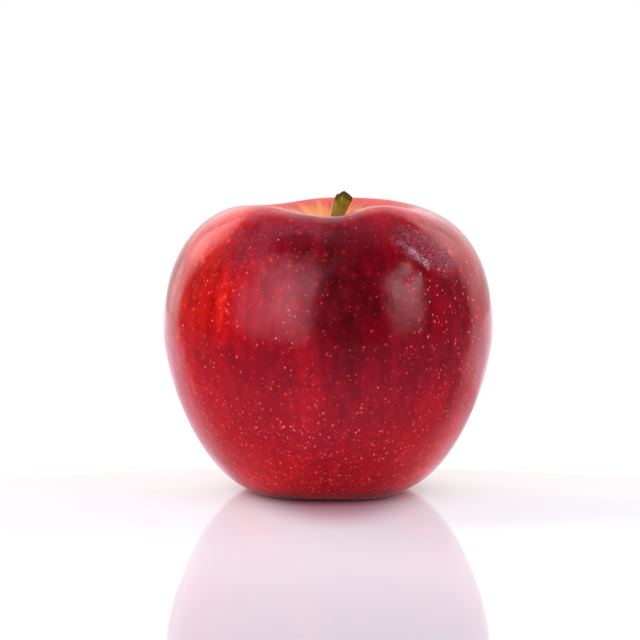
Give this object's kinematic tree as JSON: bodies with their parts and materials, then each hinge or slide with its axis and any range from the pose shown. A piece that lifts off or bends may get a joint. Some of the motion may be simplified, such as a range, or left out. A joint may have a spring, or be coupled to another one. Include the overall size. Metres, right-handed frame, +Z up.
{
  "type": "red apple",
  "caption": "Whole red apple with a woody stem in its top hollow and a dried flower eye in the basin it rests round.",
  "frame": {"origin": "middle of the fruit's footprint, on the surface it rests on", "axes": "+Z up along the fruit's core axis towards the stem, -Y towards the side that faces the viewer, +X to the viewer's right, where the stem leans"},
  "size_m": [0.0794, 0.0794, 0.0723],
  "materials": {
    "skin": "waxy deep red skin with fine streaks and pale dots",
    "stem_wood": "dull olive-brown bark with a dark cut end",
    "dried_sepal": "dry, dull brown sepals"
  },
  "bodies": {
    "root": {"fruit": "skin", "stem": "stem_wood", "calyx": "dried_sepal"}
  },
  "joints": []
}
